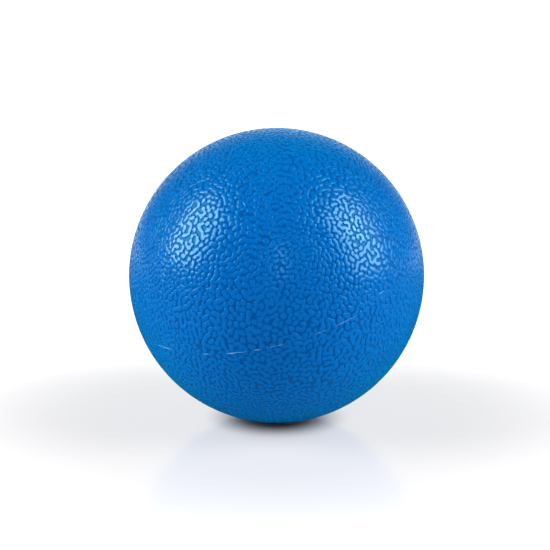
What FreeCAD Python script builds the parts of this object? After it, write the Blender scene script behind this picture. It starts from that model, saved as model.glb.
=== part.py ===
import FreeCAD, Part
import math
import os

import Sketcher

# Stress ball: two half shells of soft elastomer, lapped and bonded round the middle, filled with gel
# through a hole at the lower pole, which a soft plug closes flush with the skin.
# Origin at the centre of the ball, +Z up as it lies on a desk.  Each piece is drawn upright in its own
# body, round the mould axis, and the body's placement leans that axis over as the ball lies.

document = FreeCAD.newDocument("StressBall")

# Driving sizes in millimetres and degrees.
DRIVING_SIZES = [
    ("ball_diameter", 63, "across the closed ball"),
    ("wall", 3, "thickness of both half shells"),
    ("lap_height", 3, "tongue of the lower shell above the parting plane"),
    ("lap_width", 1.4, "thickness of the tongue at the parting plane"),
    ("bond_gap", 0.1, "adhesive film round and above the tongue"),
    ("tongue_chamfer", 0.3, "lead-in on the outer edge of the tongue"),
    ("boss_diameter", 13, "thickened skin round the filling hole"),
    ("boss_rise", 3, "boss above the inside of the wall, on the mould axis"),
    ("boss_round", 0.8, "rounded rim of the boss"),
    ("hole_diameter", 5, "filling hole"),
    ("recess_diameter", 9, "recess that takes the head of the plug"),
    ("recess_depth", 1.5, "recess, from the outside of the ball on the mould axis"),
    ("plug_clearance", 0.05, "plug to hole and recess, each side"),
    ("barb_diameter", 6.4, "barb that holds the plug behind the boss"),
    ("barb_length", 2, "barb, from the boss to its blunt end"),
    ("barb_end_diameter", 3.2, "blunt end of the barb"),
    ("gel_clearance", 0.2, "filling to the wall, the boss and the barb"),
    ("mould_lean", 20.7, "mould axis away from the vertical"),
    ("mould_heading", 222, "way the mould axis leans, from +X towards +Y"),
]
sheet = document.addObject("Spreadsheet::Sheet", "Sizes")
for row, (alias, size, meaning) in enumerate(DRIVING_SIZES, start=1):
    sheet.set(f"A{row}", alias)
    sheet.set(f"B{row}", str(size))
    sheet.set(f"C{row}", meaning)
    sheet.setAlias(f"B{row}", alias)
document.recompute()

# Heights and reaches that several pieces share, as expressions on the sheet.
ON_AXIS = "0"
PARTING_PLANE = "0"
OUTER_RADIUS = "Sizes.ball_diameter / 2"
CAVITY_RADIUS = f"({OUTER_RADIUS} - Sizes.wall)"
TONGUE_RADIUS = f"({CAVITY_RADIUS} + Sizes.lap_width)"
REBATE_RADIUS = f"({TONGUE_RADIUS} + Sizes.bond_gap)"
REBATE_TOP = "(Sizes.lap_height + Sizes.bond_gap)"
BOSS_RADIUS = "Sizes.boss_diameter / 2"
BOSS_TOP = f"(-{CAVITY_RADIUS} + Sizes.boss_rise)"
HOLE_RADIUS = "Sizes.hole_diameter / 2"
RECESS_RADIUS = "Sizes.recess_diameter / 2"
RECESS_TOP = f"(-{OUTER_RADIUS} + Sizes.recess_depth)"
BARB_RADIUS = "Sizes.barb_diameter / 2"
BARB_TOP = f"({BOSS_TOP} + Sizes.barb_length)"


def across_sphere(radius, height):
    """How far from the axis a sphere about the origin is at a height, as an expression."""
    return f"sqrt(pow({radius}; 2) - pow({height}; 2))"


def number(expression):
    return float(sheet.evalExpression(expression))


def line(across, up):
    """A corner of an outline that a straight side leaves."""
    return {"across": across, "up": up, "arc": False, "settled": None}


def arc(across, up):
    """A corner that an arc about the origin leaves."""
    return {"across": across, "up": up, "arc": True, "settled": None}


def after_arc(corner, settled):
    """The corner that an arc reaches: the arc settles one of its two coordinates."""
    return {**corner, "settled": settled}


def new_body(label):
    """An empty body, its own Z being the mould axis, leaned over as the ball lies."""
    body = document.addObject("PartDesign::Body", label)
    body.Label = label
    body.setExpression(
        "Placement",
        "create(<<placement>>; create(<<vector>>; 0; 0; 0); create(<<rotation>>;"
        " create(<<vector>>; -sin(Sizes.mould_heading * 1 deg); cos(Sizes.mould_heading * 1 deg); 0);"
        " Sizes.mould_lean * 1 deg))",
    )
    return body


def fix_coordinate(sketch, kind, end, expression):
    """Dimension one coordinate of a corner from the origin, bound to the sheet."""
    distance = number(expression)
    if distance > 0:
        constraint = Sketcher.Constraint(kind, -1, 1, *end, distance)
        bound = expression
    else:
        constraint = Sketcher.Constraint(kind, *end, -1, 1, -distance)
        bound = f"-({expression})"
    index = sketch.addConstraint(constraint)
    sketch.setExpression(f"Constraints[{index}]", bound)


def half_section(body, name, corners):
    """Closed sketch on the body's XZ plane, its corners joined in order and fully dimensioned."""
    plane = next(p for p in body.Origin.OriginFeatures if p.Role == "XZ_Plane")
    sketch = body.newObject("Sketcher::SketchObject", name)
    sketch.AttachmentSupport = [(plane, "")]
    sketch.MapMode = "FlatFace"
    places = [FreeCAD.Vector(number(c["across"]), number(c["up"]), 0) for c in corners]
    starts = []
    ends = []
    for index, corner in enumerate(corners):
        here = places[index]
        there = places[(index + 1) % len(places)]
        if corner["arc"]:
            turns = sorted(math.atan2(p.y, p.x) for p in (here, there))
            circle = Part.Circle(FreeCAD.Vector(0, 0, 0), FreeCAD.Vector(0, 0, 1), here.Length)
            side = sketch.addGeometry(Part.ArcOfCircle(circle, *turns), False)
            rising = math.atan2(there.y, there.x) > math.atan2(here.y, here.x)
            first, last = (1, 2) if rising else (2, 1)
            sketch.addConstraint(Sketcher.Constraint("Coincident", side, 3, -1, 1))
        else:
            side = sketch.addGeometry(Part.LineSegment(here, there), False)
            first, last = 1, 2
        starts.append((side, first))
        ends.append((side, last))
    for index, corner in enumerate(corners):
        sketch.addConstraint(Sketcher.Constraint("Coincident", *ends[index - 1], *starts[index]))
        if corner["across"] == ON_AXIS:
            sketch.addConstraint(Sketcher.Constraint("PointOnObject", *starts[index], -2))
        elif corner["settled"] != "across":
            fix_coordinate(sketch, "DistanceX", starts[index], corner["across"])
        if corner["up"] == PARTING_PLANE:
            sketch.addConstraint(Sketcher.Constraint("PointOnObject", *starts[index], -1))
        elif corner["settled"] != "up":
            fix_coordinate(sketch, "DistanceY", starts[index], corner["up"])
    return sketch


def turn(body, kind, name, sketch):
    """Revolution or Groove of a half section, all the way round the mould axis."""
    feature = body.newObject(kind, name)
    feature.Profile = sketch
    feature.ReferenceAxis = (sketch, ["V_Axis"])
    feature.Angle = 360
    sketch.Visibility = False
    document.recompute()
    return feature


def circle_edge(feature, radius, height):
    """Name of the circular edge of a feature at a radius and a height, given as expressions."""
    for index, edge in enumerate(feature.Shape.Edges, start=1):
        if edge.Degenerated or not isinstance(edge.Curve, Part.Circle):
            continue
        same_radius = math.isclose(edge.Curve.Radius, number(radius), abs_tol=1e-4)
        same_height = math.isclose(edge.Curve.Center.z, number(height), abs_tol=1e-4)
        if same_radius and same_height:
            return f"Edge{index}"
    raise ValueError(f"{feature.Name} has no circular edge at {radius}, {height}")


def dress(body, kind, name, base, edge, sheet_size, size_property):
    """Fillet or chamfer one edge by a size on the sheet."""
    feature = body.newObject(kind, name)
    feature.Base = (base, [edge])
    feature.setExpression(size_property, f"Sizes.{sheet_size}")
    document.recompute()
    return feature


# Upper half shell: a plain dome with a rebate cut inside its rim for the other half's tongue.
upper_shell = new_body("upper_shell")
upper_section = half_section(upper_shell, "UpperShellSection", [
    arc(ON_AXIS, OUTER_RADIUS),
    after_arc(line(OUTER_RADIUS, PARTING_PLANE), "across"),
    line(REBATE_RADIUS, PARTING_PLANE),
    line(REBATE_RADIUS, REBATE_TOP),
    arc(across_sphere(CAVITY_RADIUS, REBATE_TOP), REBATE_TOP),
    after_arc(line(ON_AXIS, CAVITY_RADIUS), "up"),
])
turn(upper_shell, "PartDesign::Revolution", "UpperShellTurned", upper_section)

# Lower half shell: the matching bowl, with the tongue round its rim and a boss inside its pole.
lower_shell = new_body("lower_shell")
lower_section = half_section(lower_shell, "LowerShellSection", [
    arc(OUTER_RADIUS, PARTING_PLANE),
    after_arc(line(ON_AXIS, f"-{OUTER_RADIUS}"), "up"),
    line(ON_AXIS, BOSS_TOP),
    line(BOSS_RADIUS, BOSS_TOP),
    arc(BOSS_RADIUS, f"-{across_sphere(CAVITY_RADIUS, BOSS_RADIUS)}"),
    after_arc(line(across_sphere(CAVITY_RADIUS, "Sizes.lap_height"), "Sizes.lap_height"), "across"),
    line(TONGUE_RADIUS, "Sizes.lap_height"),
    line(TONGUE_RADIUS, PARTING_PLANE),
])
lower_turned = turn(lower_shell, "PartDesign::Revolution", "LowerShellTurned", lower_section)
boss_rim = circle_edge(lower_turned, BOSS_RADIUS, BOSS_TOP)
boss_rounded = dress(
    lower_shell, "PartDesign::Fillet", "BossRounded", lower_turned, boss_rim, "boss_round", "Radius")
tongue_rim = circle_edge(boss_rounded, TONGUE_RADIUS, "Sizes.lap_height")
tongue_led_in = dress(
    lower_shell, "PartDesign::Chamfer", "TongueLedIn", boss_rounded, tongue_rim, "tongue_chamfer", "Size")

# Filling hole through the boss, stepped out to the recess for the plug's head.
BELOW_BALL = f"(-{OUTER_RADIUS} - Sizes.wall)"
ABOVE_BOSS = f"({BOSS_TOP} + Sizes.wall)"
hole_section = half_section(lower_shell, "FillingHoleSection", [
    line(ON_AXIS, BELOW_BALL),
    line(RECESS_RADIUS, BELOW_BALL),
    line(RECESS_RADIUS, RECESS_TOP),
    line(HOLE_RADIUS, RECESS_TOP),
    line(HOLE_RADIUS, ABOVE_BOSS),
    line(ON_AXIS, ABOVE_BOSS),
])
filling_hole = turn(lower_shell, "PartDesign::Groove", "FillingHole", hole_section)
if filling_hole.Shape.Volume >= tongue_led_in.Shape.Volume:
    raise ValueError("the filling hole cut nothing")

# Plug: a head that carries on the ball's curve, a stem and a barb that snaps behind the boss.
HEAD_RADIUS = f"({RECESS_RADIUS} - Sizes.plug_clearance)"
HEAD_TOP = f"({RECESS_TOP} - Sizes.plug_clearance)"
STEM_RADIUS = f"({HOLE_RADIUS} - Sizes.plug_clearance)"
BARB_FOOT = f"({BOSS_TOP} + Sizes.plug_clearance)"
fill_plug = new_body("fill_plug")
plug_section = half_section(fill_plug, "PlugSection", [
    arc(ON_AXIS, f"-{OUTER_RADIUS}"),
    after_arc(line(HEAD_RADIUS, f"-{across_sphere(OUTER_RADIUS, HEAD_RADIUS)}"), "up"),
    line(HEAD_RADIUS, HEAD_TOP),
    line(STEM_RADIUS, HEAD_TOP),
    line(STEM_RADIUS, BARB_FOOT),
    line(BARB_RADIUS, BARB_FOOT),
    line("Sizes.barb_end_diameter / 2", BARB_TOP),
    line(ON_AXIS, BARB_TOP),
])
turn(fill_plug, "PartDesign::Revolution", "PlugTurned", plug_section)

# Gel: fills the cavity, hollowed where the boss and the barb stand into it.
GEL_RADIUS = f"({CAVITY_RADIUS} - Sizes.gel_clearance)"
BOSS_POCKET_RADIUS = f"({BOSS_RADIUS} + Sizes.gel_clearance)"
BOSS_POCKET_TOP = f"({BOSS_TOP} + Sizes.gel_clearance)"
BARB_POCKET_RADIUS = f"({BARB_RADIUS} + Sizes.gel_clearance)"
BARB_POCKET_TOP = f"({BARB_TOP} + Sizes.gel_clearance)"
gel_core = new_body("gel_core")
gel_section = half_section(gel_core, "GelSection", [
    arc(ON_AXIS, GEL_RADIUS),
    after_arc(line(BOSS_POCKET_RADIUS, f"-{across_sphere(GEL_RADIUS, BOSS_POCKET_RADIUS)}"), "up"),
    line(BOSS_POCKET_RADIUS, BOSS_POCKET_TOP),
    line(BARB_POCKET_RADIUS, BOSS_POCKET_TOP),
    line(BARB_POCKET_RADIUS, BARB_POCKET_TOP),
    line(ON_AXIS, BARB_POCKET_TOP),
])
turn(gel_core, "PartDesign::Revolution", "GelTurned", gel_section)

# Nothing is written unless every object worked out and every piece is one sound solid.
document.recompute()
for item in document.Objects:
    if "Invalid" in item.State or "Error" in item.State:
        raise RuntimeError(f"{item.Name} failed: {item.State}")
pieces = [upper_shell, lower_shell, gel_core, fill_plug]
for piece in pieces:
    shape = piece.Shape
    if shape.isNull() or not shape.isValid() or len(shape.Solids) != 1:
        raise RuntimeError(f"{piece.Label} is not one sound solid")
os.makedirs("parts", exist_ok=True)
for piece in pieces:
    piece.Shape.exportStep(f"parts/{piece.Label}.step")
    print(f"{piece.Label}: {piece.Shape.Volume / 1000:.2f} cm3")
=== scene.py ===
import math

import bmesh
import bpy
from mathutils import Matrix, Vector


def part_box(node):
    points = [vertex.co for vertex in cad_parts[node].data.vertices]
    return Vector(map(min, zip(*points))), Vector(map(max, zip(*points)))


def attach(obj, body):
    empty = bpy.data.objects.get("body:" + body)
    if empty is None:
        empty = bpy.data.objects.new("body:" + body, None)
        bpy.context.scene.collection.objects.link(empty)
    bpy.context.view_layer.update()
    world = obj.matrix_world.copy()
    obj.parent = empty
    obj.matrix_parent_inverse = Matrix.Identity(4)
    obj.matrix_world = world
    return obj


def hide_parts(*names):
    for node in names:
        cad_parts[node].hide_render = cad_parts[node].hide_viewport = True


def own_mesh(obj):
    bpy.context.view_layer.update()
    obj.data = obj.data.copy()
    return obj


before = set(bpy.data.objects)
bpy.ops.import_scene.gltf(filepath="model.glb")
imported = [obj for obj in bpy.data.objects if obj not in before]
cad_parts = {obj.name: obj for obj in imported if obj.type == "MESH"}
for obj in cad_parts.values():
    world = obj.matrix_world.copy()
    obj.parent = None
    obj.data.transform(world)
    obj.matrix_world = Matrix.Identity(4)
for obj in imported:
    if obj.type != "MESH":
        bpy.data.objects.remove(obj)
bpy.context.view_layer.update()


# ---- Half shells ---------------------------------------------------------------------------------
# Two thick cups of soft blue elastomer, moulded against a leather-grained cavity and glossy.  The lower
# one has a tongue round its rim that laps into a rebate in the upper one, where the two are bonded; a
# thin broken line of flash stands up where they meet.  The grooves of the grain are painted darker as
# painted shade, and the flash is painted paler as a painted glint, most on the side towards the camera.

MILLIMETRE = 0.001
BALL_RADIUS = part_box("upper_shell")[1][2]
MOULD_LEAN = math.radians(20.7)
MOULD_HEADING = math.radians(222)
WALL = 3 * MILLIMETRE
LAP_HEIGHT = 3 * MILLIMETRE
LAP_WIDTH = 1.4 * MILLIMETRE
BOND_GAP = 0.1 * MILLIMETRE
TONGUE_CHAMFER = 0.3 * MILLIMETRE
CAVITY_RADIUS = BALL_RADIUS - WALL
TONGUE_RADIUS = CAVITY_RADIUS + LAP_WIDTH
REBATE_RADIUS = TONGUE_RADIUS + BOND_GAP
REBATE_TOP = LAP_HEIGHT + BOND_GAP
BOSS_RADIUS = 6.5 * MILLIMETRE
BOSS_TOP = 3 * MILLIMETRE - CAVITY_RADIUS
BOSS_ROUND = 0.8 * MILLIMETRE
HOLE_RADIUS = 2.5 * MILLIMETRE
RECESS_RADIUS = 4.5 * MILLIMETRE
RECESS_TOP = 1.5 * MILLIMETRE - BALL_RADIUS
LAND_RADIUS = 5.3 * MILLIMETRE
SPHERE_SPLITS = 9
GRAIN_SEED = 5
GRAIN_PASSES = 4
PEBBLE_BLUR = 4
GROOVE_BLUR = 12
GRAIN_GAIN = 9.0
GRAIN_SOFTENING = 2
PATCH_SCALE = 0.4
PATCH_SPREAD = 0.4
GRAIN_BIAS = -0.04
GRAIN_DEPTH = 0.095 * MILLIMETRE
STEEP_BAND = (0.02, 0.22)
CROWN_BAND = (0.1, 0.8)
CROWN_SHARE = 0.12
PLAIN_LEVEL = 0.8
PLAIN_BAND = 0.35
LAND_BAND = 0.6
FLASH_HEIGHT = 0.12 * MILLIMETRE
FLASH_BAND = (0.02, 0.16)
FLASH_BREAKS = 0.22
BREAK_BAND = (0.42, 0.66)
# The flash stands highest and is painted palest, as a painted glint, on the side at this heading, towards
# the camera.
GLINT_BAND = (0.45, 0.9)
GLINT_SHARE = 0.8
LEAST_FLASH = 0.05
GLINT_HEADING = math.radians(-110)
GLINT_SIDE = (math.cos(GLINT_HEADING), math.sin(GLINT_HEADING), 0)
# Painted shade: the grooves' blue is darker than the pebbles' to stand in for the shade down in the grain.
SHADED_GROOVE_BLUE = (0.0, 0.052, 0.245, 1)
PEBBLE_BLUE = (0.0, 0.093, 0.366, 1)
# Painted glint: the pale blue that the flash is painted where it catches the light.
FLASH_GLINT_BLUE = (0.25, 0.5, 0.8, 1)

lean_axis = Vector((-math.sin(MOULD_HEADING), math.cos(MOULD_HEADING), 0))
AS_IT_LIES = Matrix.Rotation(MOULD_LEAN, 4, lean_axis)


class Wire:
    """One socket of a node tree.  Sums written on it add their Math nodes."""

    def __init__(self, tree, socket=None):
        self.tree = tree
        self.socket = socket

    def add(self, kind, settings=None, inputs=None, output=0):
        """A new node: its settings first, then the values or links of its inputs."""
        node = self.tree.nodes.new(kind)
        for name, value in (settings or {}).items():
            setattr(node, name, value)
        named = {socket.identifier: socket for socket in node.inputs}
        for key, value in (inputs or {}).items():
            socket = named[key] if key in named else node.inputs[key]
            if isinstance(value, Wire):
                self.tree.links.new(value.socket, socket)
            else:
                socket.default_value = value
        outlets = {socket.identifier: socket for socket in node.outputs}
        return Wire(self.tree, outlets[output] if output in outlets else node.outputs[output])

    def other(self, output):
        """Another output of the same node."""
        return Wire(self.tree, self.socket.node.outputs[output])

    def math(self, operation, *values, clamp=False):
        inputs = dict(enumerate(values))
        return self.add("ShaderNodeMath", {"operation": operation, "use_clamp": clamp}, inputs)

    def feed(self, socket):
        """Links this to a socket of another node."""
        self.tree.links.new(self.socket, socket)

    def vector(self, operation, *values, output=0):
        return self.add("ShaderNodeVectorMath", {"operation": operation}, dict(enumerate(values)), output)

    def rise(self, low, high):
        """Nought below low, one above high, and a smooth rise between."""
        settings = {"interpolation_type": "SMOOTHSTEP"}
        return self.add("ShaderNodeMapRange", settings, {"Value": self, "From Min": low, "From Max": high})

    def mixed(self, low, high):
        """The one colour where this is nought, the other where it is one."""
        inputs = {"Factor_Float": self, "A_Color": low, "B_Color": high}
        return self.add("ShaderNodeMix", {"data_type": "RGBA"}, inputs, "Result_Color")

    def __add__(self, value):
        return self.math("ADD", self, value)

    def __sub__(self, value):
        return self.math("SUBTRACT", self, value)

    def __rsub__(self, value):
        return self.math("SUBTRACT", value, self)

    def __mul__(self, value):
        return self.math("MULTIPLY", self, value)

    __radd__ = __add__
    __rmul__ = __mul__


def noise(place, scale, detail=2.0, output="Fac"):
    """Smooth random values round a place, scale of them to the millimetre."""
    return place.add("ShaderNodeTexNoise", {"noise_dimensions": "3D"},
                     {"Vector": place, "Scale": scale, "Detail": detail}, output)


def blurred(value, passes):
    """A value on the mesh, averaged with its neighbours a number of times."""
    return value.add("GeometryNodeBlurAttribute", {"data_type": "FLOAT"},
                     {"Value": value, "Iterations": passes})


def stored(cup, name, value, data_type="FLOAT"):
    """Keeps a value on every point of the mesh under a name."""
    return cup.add("GeometryNodeStoreNamedAttribute", {"data_type": data_type, "domain": "POINT"},
                   {"Geometry": cup, "Name": name, "Value": value})


def grained(cup, place):
    """Grows the leather grain: from speckle, near neighbours draw level and the ring round them sinks."""
    tree = cup.tree
    speckle = cup.add("FunctionNodeRandomValue", {"data_type": "FLOAT"}, {"Seed": GRAIN_SEED}, 1)
    cup = stored(cup, "grain", speckle)
    ends = [tree.nodes.new(f"GeometryNodeRepeat{end}") for end in ("Input", "Output")]
    ends[0].pair_with_output(ends[1])
    ends[0].inputs["Iterations"].default_value = GRAIN_PASSES
    cup.feed(ends[0].inputs["Geometry"])
    inside = Wire(tree, ends[0].outputs["Geometry"])
    grain = inside.add("GeometryNodeInputNamedAttribute", {"data_type": "FLOAT"}, {"Name": "grain"})
    contrast = (blurred(grain, PEBBLE_BLUR) - blurred(grain, GROOVE_BLUR)) * GRAIN_GAIN
    bias = noise(place, PATCH_SCALE, 0.0) * PATCH_SPREAD + GRAIN_BIAS
    level = contrast.math("ADD", contrast, bias, clamp=True)
    stored(inside, "grain", level).feed(ends[1].inputs["Geometry"])
    grown = Wire(tree, ends[1].outputs["Geometry"])
    grain = grown.add("GeometryNodeInputNamedAttribute", {"data_type": "FLOAT"}, {"Name": "grain"})
    return stored(grown, "grain", blurred(grain, GRAIN_SOFTENING))


def pebbled(grain):
    """Height of the moulded surface, nought in a groove and one on a pebble's crown."""
    return grain.rise(*STEEP_BAND) * (1 - CROWN_SHARE) + grain.rise(*CROWN_BAND) * CROWN_SHARE


def shell_tree(material, half, opening):
    """The grained skin of one half shell, upright, open at its rim and at its pole."""
    tree = bpy.data.node_groups.new(f"half shell {half}", "GeometryNodeTree")
    given = {"Radius": BALL_RADIUS, "Grain depth": GRAIN_DEPTH, "Flash height": FLASH_HEIGHT,
             "Opening": opening}
    for name, value in given.items():
        socket = tree.interface.new_socket(name, in_out="INPUT", socket_type="NodeSocketFloat")
        socket.default_value = value
    tree.interface.new_socket("Geometry", in_out="OUTPUT", socket_type="NodeSocketGeometry")
    start = Wire(tree)
    sizes = start.add("NodeGroupInput")
    radius, grain_depth, flash_height, opening = (sizes.other(i) for i in range(4))
    ball = start.add("GeometryNodeMeshIcoSphere", {}, {"Radius": radius, "Subdivisions": SPHERE_SPLITS})
    position = start.add("GeometryNodeInputPosition")
    up = position.add("ShaderNodeSeparateXYZ", {}, {0: position}, 2) * half
    across = position.vector("MULTIPLY", position, (1, 1, 0))
    across = across.vector("LENGTH", across, output=1)
    spare = up.math("LESS_THAN", up, 0.0)
    spare = spare.math("MAXIMUM", spare, spare.math("LESS_THAN", across, opening))
    cup = ball.add("GeometryNodeDeleteGeometry", {"domain": "FACE"}, {"Geometry": ball, "Selection": spare})
    place = position.add("ShaderNodeVectorMath", {"operation": "SCALE"}, {0: position, "Scale": 1000.0})
    cup = grained(stored(cup, "moulded_place", position, "FLOAT_VECTOR"), place)
    grain = cup.add("GeometryNodeInputNamedAttribute", {"data_type": "FLOAT"}, {"Name": "grain"})
    outwards = position.vector("NORMALIZE", position)
    from_seam = up * 1000.0
    from_land = (across - opening) * 1000.0
    grown = from_seam.rise(0.0, PLAIN_BAND) * from_land.rise(0.0, LAND_BAND)
    # The flash is strongest on the side towards the camera, where it is also painted paler as a painted
    # glint.
    glint_side = position.vector("NORMALIZE", position.vector("MULTIPLY", position, (1, 1, 0)))
    glint_side = glint_side.vector("DOT_PRODUCT", glint_side, GLINT_SIDE, output=1)
    ragged = noise(place, FLASH_BREAKS, 4.0).rise(*BREAK_BAND)
    ragged = ragged * (glint_side.rise(*GLINT_BAND) * GLINT_SHARE + (1 - GLINT_SHARE)) + LEAST_FLASH
    flash = (1.0 - from_seam.rise(*FLASH_BAND)) * ragged
    cup = stored(cup, "flash", flash)
    lift = (pebbled(grain) * grown + (1.0 - grown) * PLAIN_LEVEL - 1.0) * grain_depth
    lift = lift + flash * flash_height
    offset = outwards.add("ShaderNodeVectorMath", {"operation": "SCALE"}, {0: outwards, "Scale": lift})
    cup = cup.add("GeometryNodeSetPosition", {}, {"Geometry": cup, "Offset": offset})
    cup = cup.add("GeometryNodeSetShadeSmooth", {}, {"Geometry": cup})
    cup = cup.add("GeometryNodeRealizeInstances", {}, {"Geometry": cup})
    cup = cup.add("GeometryNodeSetMaterial", {}, {"Geometry": cup, "Material": material})
    cup.feed(tree.nodes.new("NodeGroupOutput").inputs[0])
    return tree


def made_from(tree, name):
    """A plain mesh object from what a geometry tree makes."""
    maker = bpy.data.objects.new(name, bpy.data.meshes.new(name))
    bpy.context.scene.collection.objects.link(maker)
    maker.modifiers.new("made", "NODES").node_group = tree
    bpy.context.view_layer.update()
    made = maker.evaluated_get(bpy.context.evaluated_depsgraph_get())
    mesh = bpy.data.meshes.new_from_object(made)
    if mesh.materials[0] is None:
        mesh.materials.pop(index=0)
    maker.modifiers.clear()
    maker.data = mesh
    mesh.name = name
    return maker


def openings(cup):
    """The holes in a mesh, widest first, each as its points in order of their bearing."""
    beside = {}
    for edge in cup.edges:
        if edge.is_boundary:
            for here, there in (edge.verts, reversed(edge.verts)):
                beside.setdefault(here, []).append(there)
    loops = []
    while beside:
        first = min(beside, key=lambda point: abs(math.atan2(point.co.y, point.co.x)))
        loop = [first]
        step = max(beside[first], key=lambda point: point.co.y)
        while step is not first:
            loop.append(step)
            step = next(point for point in beside[step] if point is not loop[-2])
        for point in loop:
            del beside[point]
        loops.append(loop)
    return sorted(loops, key=len, reverse=True)


def ring(cup, across, up, count):
    """Points on a circle round the mould axis; with no reach, the one point at a pole."""
    turns = [2 * math.pi * step / count for step in range(count)] if across else [0]
    points = [cup.verts.new((across * math.cos(turn), across * math.sin(turn), up)) for turn in turns]
    for point in points:
        point[cup.verts.layers.float["grain"]] = 1.0
        point[cup.verts.layers.float_vector["moulded_place"]] = point.co
    return points


def zipped(cup, first, second, half):
    """Joins two rings of points with a band of triangles, whatever their numbers."""
    first_left, second_left = (len(points) if len(points) > 1 else 0 for points in (first, second))
    i = 0
    j = 0
    while first_left or second_left:
        corners = [first[i % len(first)], second[j % len(second)]]
        if not second_left or (first_left and (i + 1) * len(second) <= (j + 1) * len(first)):
            i += 1
            first_left -= 1
            corners.append(first[i % len(first)])
        else:
            j += 1
            second_left -= 1
            corners.append(second[j % len(second)])
        cup.faces.new(corners[::half]).smooth = True


def cavity_points(low, high, steps, count):
    """Rings along the inside of the wall from one height to another."""
    turns = [math.asin(height / CAVITY_RADIUS) for height in (low, high)]
    for step in range(steps + 1):
        turn = turns[0] + (turns[1] - turns[0]) * step / steps
        yield CAVITY_RADIUS * math.cos(turn), CAVITY_RADIUS * math.sin(turn), count


RIM_COUNT = 5 * 2 ** (SPHERE_SPLITS - 1)
INSIDE_COUNT = 96
UPPER_INSIDE = [
    (REBATE_RADIUS, 0, RIM_COUNT),
    (REBATE_RADIUS, REBATE_TOP, RIM_COUNT),
    *cavity_points(REBATE_TOP, CAVITY_RADIUS * 0.9995, 28, INSIDE_COUNT),
    (0, CAVITY_RADIUS, 1),
]
BOSS_ROUNDED = [
    (BOSS_RADIUS - BOSS_ROUND + BOSS_ROUND * math.cos(math.radians(turn)),
     BOSS_TOP - BOSS_ROUND + BOSS_ROUND * math.sin(math.radians(turn)), INSIDE_COUNT)
    for turn in range(0, 91, 15)
]
LOWER_INSIDE = [
    (TONGUE_RADIUS, 0, RIM_COUNT),
    (TONGUE_RADIUS, LAP_HEIGHT - TONGUE_CHAMFER, RIM_COUNT),
    (TONGUE_RADIUS - TONGUE_CHAMFER, LAP_HEIGHT, RIM_COUNT),
    *cavity_points(LAP_HEIGHT, -math.sqrt(CAVITY_RADIUS ** 2 - BOSS_RADIUS ** 2), 28, INSIDE_COUNT),
    *BOSS_ROUNDED,
    (HOLE_RADIUS, BOSS_TOP, INSIDE_COUNT),
    (HOLE_RADIUS, RECESS_TOP, INSIDE_COUNT),
    (RECESS_RADIUS, RECESS_TOP, INSIDE_COUNT),
    (RECESS_RADIUS, -math.sqrt(BALL_RADIUS ** 2 - RECESS_RADIUS ** 2), INSIDE_COUNT),
]


def close_cup(shell, half, inside):
    """Gives a grained skin its rim, its lap, its inner wall and, at the lower pole, its filling hole."""
    cup = bmesh.new()
    cup.from_mesh(shell.data)
    loops = openings(cup)
    last = loops[0]
    for across, up, count in inside:
        current = ring(cup, across, up, count)
        zipped(cup, last, current, half)
        last = current
    for loop in loops[1:]:
        zipped(cup, last, loop, half)
    cup.to_mesh(shell.data)
    cup.free()
    shell.data.set_sharp_from_angle(angle=math.radians(65))


def new_material(name):
    """A material, its shader, and where each point lay in its mould, in millimetres."""
    material = bpy.data.materials.new(name)
    material.use_nodes = True
    start = Wire(material.node_tree)
    moulded = start.add("ShaderNodeAttribute", {"attribute_name": "moulded_place"}, {}, "Vector")
    place = moulded.add("ShaderNodeVectorMath", {"operation": "SCALE"}, {0: moulded, "Scale": 1000.0})
    return material, material.node_tree.nodes["Principled BSDF"], place


def bumped(shader, relief):
    """Gives a shader a fine relief, in metres."""
    bump = relief.add("ShaderNodeBump", {}, {"Height": relief, "Distance": 1.0, "Strength": 1.0})
    bump.feed(shader.inputs["Normal"])


def skin_material():
    """Glossy soft blue elastomer, duller down in the grain; the grooves are painted darker as painted shade
    and the flash paler as a painted glint.
    """
    material, shader, place = new_material("glossy_blue_skin")
    grain = place.add("ShaderNodeAttribute", {"attribute_name": "grain"}, {}, "Fac")
    height = pebbled(grain)
    # Painted shade: the grooves are painted darker than the pebbles.
    tint = height.mixed(SHADED_GROOVE_BLUE, PEBBLE_BLUE)
    flash = place.add("ShaderNodeAttribute", {"attribute_name": "flash"}, {}, "Fac")
    # Painted glint: the flash is painted paler, most on the side towards the camera.
    tint = (flash.rise(0.2, 0.9) * 0.8).mixed(tint, FLASH_GLINT_BLUE)
    tint.feed(shader.inputs["Base Color"])
    dull = 0.32 - height * 0.16
    dull.feed(shader.inputs["Roughness"])
    gloss = grain.rise(0.15, 0.45) * 0.4 + 0.01
    gloss.feed(shader.inputs["Coat Weight"])
    shader.inputs["Coat Roughness"].default_value = 0.14
    shader.inputs["Specular Tint"].default_value = (0.0, 0.8, 1.0, 1)
    shader.inputs["Specular IOR Level"].default_value = 0.26
    shader.inputs["Sheen Weight"].default_value = 0.15
    shader.inputs["Sheen Roughness"].default_value = 0.5
    shader.inputs["Sheen Tint"].default_value = (0.0, 0.85, 1.0, 1)
    bumped(shader, height * 0.00005 + noise(place, 9.0) * 0.000006)
    return material


skin = skin_material()
for name, half, body, opening, inside in (("upper_shell", 1, "upper_half", 0, UPPER_INSIDE),
                                          ("lower_shell", -1, "lower_half", LAND_RADIUS, LOWER_INSIDE)):
    shell = made_from(shell_tree(skin, half, opening), f"{name}_grained")
    close_cup(shell, half, inside)
    shell.data.transform(AS_IT_LIES)
    half * BALL_RADIUS
    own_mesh(shell)
    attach(shell, body)
    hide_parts(name)


# ---- Gel filling ---------------------------------------------------------------------------------
# A clear, faintly blue gel poured in through the lower pole until it fills the skin and then set.  It
# takes the shape of the smooth inner wall and of the boss, and holds small bubbles near its surface.

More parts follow.
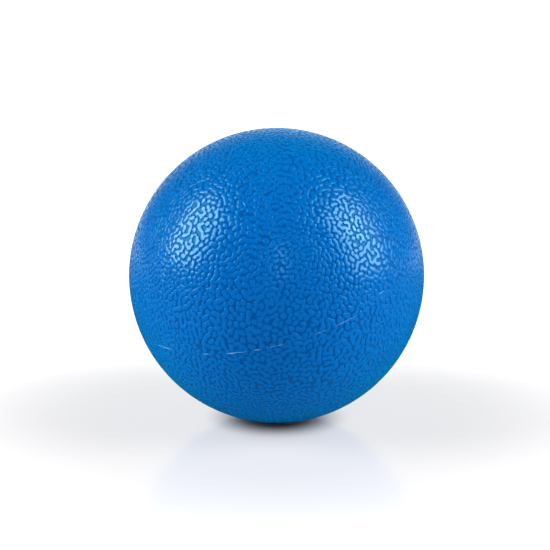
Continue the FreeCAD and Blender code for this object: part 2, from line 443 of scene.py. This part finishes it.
GEL_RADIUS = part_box("gel_core")[1][2]
GEL_GAP = 0.2 * MILLIMETRE
POCKET_RADIUS = BOSS_RADIUS + GEL_GAP
POCKET_TOP = BOSS_TOP + GEL_GAP
BARB_RADIUS = 3.2 * MILLIMETRE
BARB_TOP = BOSS_TOP + 2 * MILLIMETRE
DOME_STEPS = 72
GEL_BLUE = (0.30, 0.55, 0.78, 1)
BUBBLE_WHITE = (0.72, 0.86, 0.95, 1)


def turned(name, outline, count, half):
    """A solid turned round the mould axis from its outline, laid over as the ball lies."""
    cup = bmesh.new()
    cup.verts.layers.float.new("grain")
    cup.verts.layers.float_vector.new("moulded_place")
    last = None
    for across, up in outline:
        current = ring(cup, across, up, count)
        if last:
            zipped(cup, last, current, half)
        last = current
    mesh = bpy.data.meshes.new(name)
    cup.to_mesh(mesh)
    cup.free()
    mesh.set_sharp_from_angle(angle=math.radians(40))
    mesh.transform(AS_IT_LIES)
    piece = bpy.data.objects.new(name, mesh)
    bpy.context.scene.collection.objects.link(piece)
    return piece


def gel_material():
    """Clear set gel, with round bubbles of many sizes that show as pale spots."""
    material, shader, place = new_material("clear_blue_gel")
    cells = {"Vector": place, "Scale": 0.28}
    to_centre = place.add("ShaderNodeTexVoronoi", {"feature": "F1"}, cells, "Distance")
    size = noise(place, 0.2, 0.0) * 0.35
    bubble = (size - to_centre).rise(0.0, 0.04)
    bubble.mixed(GEL_BLUE, BUBBLE_WHITE).feed(shader.inputs["Base Color"])
    dull = bubble * 0.1 + noise(place, 0.6) * 0.1 + 0.06
    dull.feed(shader.inputs["Roughness"])
    shader.inputs["Subsurface Weight"].default_value = 0.4
    shader.inputs["Subsurface Scale"].default_value = 0.004
    bumped(shader, bubble * -0.0001 + noise(place, 0.25) * 0.0002)
    return material


pocket_foot = math.asin(POCKET_RADIUS / GEL_RADIUS)
turns = [math.pi * step / DOME_STEPS for step in range(DOME_STEPS + 1)]
dome = [turn for turn in turns if turn < math.pi - pocket_foot]
gel_outline = [(GEL_RADIUS * math.sin(turn), GEL_RADIUS * math.cos(turn)) for turn in dome]
gel_outline += [
    (POCKET_RADIUS, -GEL_RADIUS * math.cos(pocket_foot)),
    (POCKET_RADIUS, POCKET_TOP),
    (BARB_RADIUS + GEL_GAP, POCKET_TOP),
    (BARB_RADIUS + GEL_GAP, BARB_TOP + GEL_GAP),
    (0, BARB_TOP + GEL_GAP),
]
gel = turned("set_gel", gel_outline, 144, 1)
gel.data.materials.append(gel_material())
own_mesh(gel)
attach(gel, "lower_half")
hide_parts("gel_core")


# ---- Filling plug --------------------------------------------------------------------------------
# A small moulded plug pushed in from outside once the gel has set.  Its head lies flush in the recess,
# its stem fills the hole and its barb snaps behind the boss; the gate leaves a nub in a dimple.

PLUG_GAP = 0.05 * MILLIMETRE
HEAD_RADIUS = RECESS_RADIUS - PLUG_GAP
HEAD_TOP = RECESS_TOP - PLUG_GAP
STEM_RADIUS = HOLE_RADIUS - PLUG_GAP
BARB_FOOT = BOSS_TOP + PLUG_GAP
BARB_END_RADIUS = 1.6 * MILLIMETRE
DIMPLE_RADIUS = 1.2 * MILLIMETRE
DIMPLE_DEPTH = 0.35 * MILLIMETRE
NUB_RADIUS = 0.45 * MILLIMETRE
NUB_HEIGHT = 0.2 * MILLIMETRE
EDGE_ROUND = 0.2 * MILLIMETRE
PLUG_BLUE = (0.0, 0.09, 0.34, 1)
WORN_BLUE = (0.01, 0.14, 0.42, 1)


def on_ball(across):
    """Height of the ball's lower skin at a distance from the mould axis."""
    return -math.sqrt(BALL_RADIUS ** 2 - across ** 2)


def plug_material():
    """Satin blue rubber with the fine rings of a turned mould and paler rubbed patches."""
    material, shader, place = new_material("satin_blue_plug")
    rubbed = noise(place, 0.8).rise(0.5, 0.75)
    rubbed.mixed(PLUG_BLUE, WORN_BLUE).feed(shader.inputs["Base Color"])
    dull = rubbed * 0.12 + noise(place, 3.0) * 0.1 + 0.34
    dull.feed(shader.inputs["Roughness"])
    shader.inputs["Specular IOR Level"].default_value = 0.3
    across = place.vector("LENGTH", place.vector("MULTIPLY", place, (1, 1, 0)), output=1)
    rings = across.math("SINE", across * 40.0)
    bumped(shader, rings * 0.000004 + noise(place, 6.0) * 0.00001)
    return material


dimple_floor = on_ball(0) + DIMPLE_DEPTH
plug_outline = [
    (0, dimple_floor - NUB_HEIGHT),
    (NUB_RADIUS * 0.7, dimple_floor - NUB_HEIGHT),
    (NUB_RADIUS, dimple_floor - NUB_HEIGHT * 0.6),
    (NUB_RADIUS, dimple_floor),
    (DIMPLE_RADIUS * 0.8, dimple_floor),
    (DIMPLE_RADIUS, on_ball(DIMPLE_RADIUS)),
]
for step in range(1, 9):
    across = DIMPLE_RADIUS + (HEAD_RADIUS - EDGE_ROUND - DIMPLE_RADIUS) * step / 8
    plug_outline.append((across, on_ball(across)))
for turn in (30, 60, 90):
    out = EDGE_ROUND * math.sin(math.radians(turn))
    back = EDGE_ROUND * (1 - math.cos(math.radians(turn)))
    plug_outline.append((HEAD_RADIUS - EDGE_ROUND + out, on_ball(HEAD_RADIUS) + back))
plug_outline += [
    (HEAD_RADIUS, HEAD_TOP),
    (STEM_RADIUS, HEAD_TOP),
    (STEM_RADIUS, BARB_FOOT),
    (BARB_RADIUS, BARB_FOOT),
    (BARB_RADIUS, BARB_FOOT + EDGE_ROUND),
    (BARB_END_RADIUS, BARB_TOP),
    (0, BARB_TOP),
]
plug = turned("filling_plug", plug_outline, 96, -1)
plug.data.materials.append(plug_material())
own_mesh(plug)
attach(plug, "lower_half")
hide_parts("fill_plug")


# ---- Floor, light and camera ---------------------------------------------------------------------
# A sheet of glossy white acrylic glows a little as painted light, less so round the ball as a painted
# shadow, and more to diffuse rays as painted bounce light on the ball; to mirror rays it is black, but for
# the part far behind.  The room is white to the camera, and shines on the ball most from the sides.
# A soft box stands at each side, the right one with a brighter core, and a narrow lamp in front.

BLACK = (0, 0, 0, 1)
WHITE = (1, 1, 1, 1)
FLOOR_REACH = 6.0
SHEET_GREY = (0.29, 0.25, 0.26, 1)
CONTACT_BAND = (0.0065, 0.0165)
SHADE_BAND = (0.035, 0.12)
BOUNCE_GAIN = 0.7
BEHIND_BAND = (0.08, 0.4)
BEHIND_SHOWN = 0.6
DIM_GLOW = 0.1
BACK_GLOW = 0.2
SIDE_GLOW = 1.3
MIRROR_GLOW = 0.65
BACK_TINT = (0.7, 0.7, 1, 1)
SIDE_TINT = (0.5, 1.0, 1, 1)
LAMP_TINT = (0.92, 1.0, 0.94)
CAMERA_ELEVATION = math.radians(12)
CAMERA_RADII = 11.5
PICTURE_WIDTH = 550
BALL_SHARE = 147.7 / PICTURE_WIDTH

scene = bpy.context.scene
scene.view_settings.view_transform = "Standard"

floor_mesh = bpy.data.meshes.new("floor")
corners = [(x * FLOOR_REACH, y * FLOOR_REACH, -BALL_RADIUS)
           for x, y in ((-1, -1), (1, -1), (1, 1), (-1, 1))]
floor_mesh.from_pydata(corners, [], [(0, 1, 2, 3)])
floor = bpy.data.objects.new("floor", floor_mesh)
scene.collection.objects.link(floor)
white = bpy.data.materials.new("white_acrylic")
white.use_nodes = True
white_shader = white.node_tree.nodes["Principled BSDF"]
white_shader.inputs["Base Color"].default_value = SHEET_GREY
white_shader.inputs["Roughness"].default_value = 0.16
white_shader.inputs["Specular IOR Level"].default_value = 0.7
white_shader.inputs["Emission Strength"].default_value = 1.0
spot = Wire(white.node_tree).add("ShaderNodeTexCoord", {}, {}, "Object")
behind = spot.add("ShaderNodeSeparateXYZ", {}, {0: spot}, 1).rise(*BEHIND_BAND)
away = spot.vector("MULTIPLY", spot, (1, 1, 0))
away = away.vector("LENGTH", away, output=1)
# Painted light and painted shadow: the floor's glow stands in for light on it, is dimmed at the ball's
# contact and round the ball as a painted shadow, and is made stronger to diffuse rays as painted bounce
# light on the ball.
lit = away.rise(*CONTACT_BAND) * 0.5 + away.rise(*SHADE_BAND) * 0.5
mirrored = spot.add("ShaderNodeLightPath", {}, {}, "Is Glossy Ray")
bounced = mirrored.other("Is Diffuse Ray")
lit = lit * (bounced * BOUNCE_GAIN + 1.0)
lit.mixed(BLACK, WHITE).feed(white_shader.inputs["Emission Color"])
muted = spot.add("ShaderNodeBsdfDiffuse", {}, {"Color": BLACK})
sheet = Wire(white.node_tree, white_shader.outputs["BSDF"])
hidden = mirrored * (1.0 - behind * BEHIND_SHOWN)
sheet = sheet.add("ShaderNodeMixShader", {}, {0: hidden, 1: sheet, 2: muted})
sheet.feed(white.node_tree.nodes["Material Output"].inputs["Surface"])
floor_mesh.materials.append(white)

world = bpy.data.worlds.new("white room")
scene.world = world
world.use_nodes = True
background = world.node_tree.nodes["Background"]
direction = Wire(world.node_tree).add("ShaderNodeTexCoord", {}, {}, "Generated")
depth = direction.add("ShaderNodeSeparateXYZ", {}, {0: direction}, 1)
beside = depth.math("ABSOLUTE", depth.other(0))
seen = direction.add("ShaderNodeLightPath", {}, {}, "Is Camera Ray")
mirrored = seen.other("Is Glossy Ray")
soft_glow = depth.rise(-0.3, 0.8) * BACK_GLOW + beside.rise(0.5, 1.0) * SIDE_GLOW + DIM_GLOW
mirror_glow = depth.rise(0.8, 1.0) * MIRROR_GLOW
glow = soft_glow + mirrored * (mirror_glow - soft_glow)
strength = seen + (1.0 - seen) * glow
strength.feed(background.inputs["Strength"])
tint = beside.rise(0.3, 0.9).mixed(BACK_TINT, SIDE_TINT)
tint = seen.mixed(mirrored.mixed(tint, WHITE), WHITE)
tint.feed(background.inputs["Color"])


def soft_box(name, aim, distance, width, height, power):
    """A flat box of even light that shines on the ball from a direction, in metres and watts."""
    light = bpy.data.lights.new(name, "AREA")
    light.shape = "RECTANGLE"
    light.size = width
    light.size_y = height
    light.energy = power
    light.color = LAMP_TINT
    lamp = bpy.data.objects.new(name, light)
    scene.collection.objects.link(lamp)
    lamp.location = Vector(aim).normalized() * distance
    lamp.rotation_euler = Vector(aim).to_track_quat("Z", "Y").to_euler()


soft_box("left_box", aim=(-0.83, -0.15, 0.49), distance=0.9, width=0.5, height=0.68, power=12.2)
soft_box("right_box", aim=(0.80, -0.20, 0.47), distance=0.9, width=0.54, height=0.8, power=11.5)
soft_box("right_core", aim=(0.79, -0.19, 0.53), distance=0.88, width=0.2, height=0.26, power=1.0)
soft_box("front_lamp", aim=(0.06, -0.92, 0.379), distance=0.9, width=0.08, height=0.4, power=0.5)

camera = bpy.data.cameras.new("camera")
camera.sensor_width = 36
camera.lens = camera.sensor_width * BALL_SHARE * math.sqrt(CAMERA_RADII ** 2 - 1)
camera.shift_x = -1.57 / PICTURE_WIDTH
camera.shift_y = 0.35 / PICTURE_WIDTH
eye = bpy.data.objects.new("camera", camera)
scene.collection.objects.link(eye)
back = Vector((0, -math.cos(CAMERA_ELEVATION), math.sin(CAMERA_ELEVATION)))
eye.location = back * (CAMERA_RADII * BALL_RADIUS)
eye.rotation_euler = back.to_track_quat("Z", "Y").to_euler()
scene.camera = eye
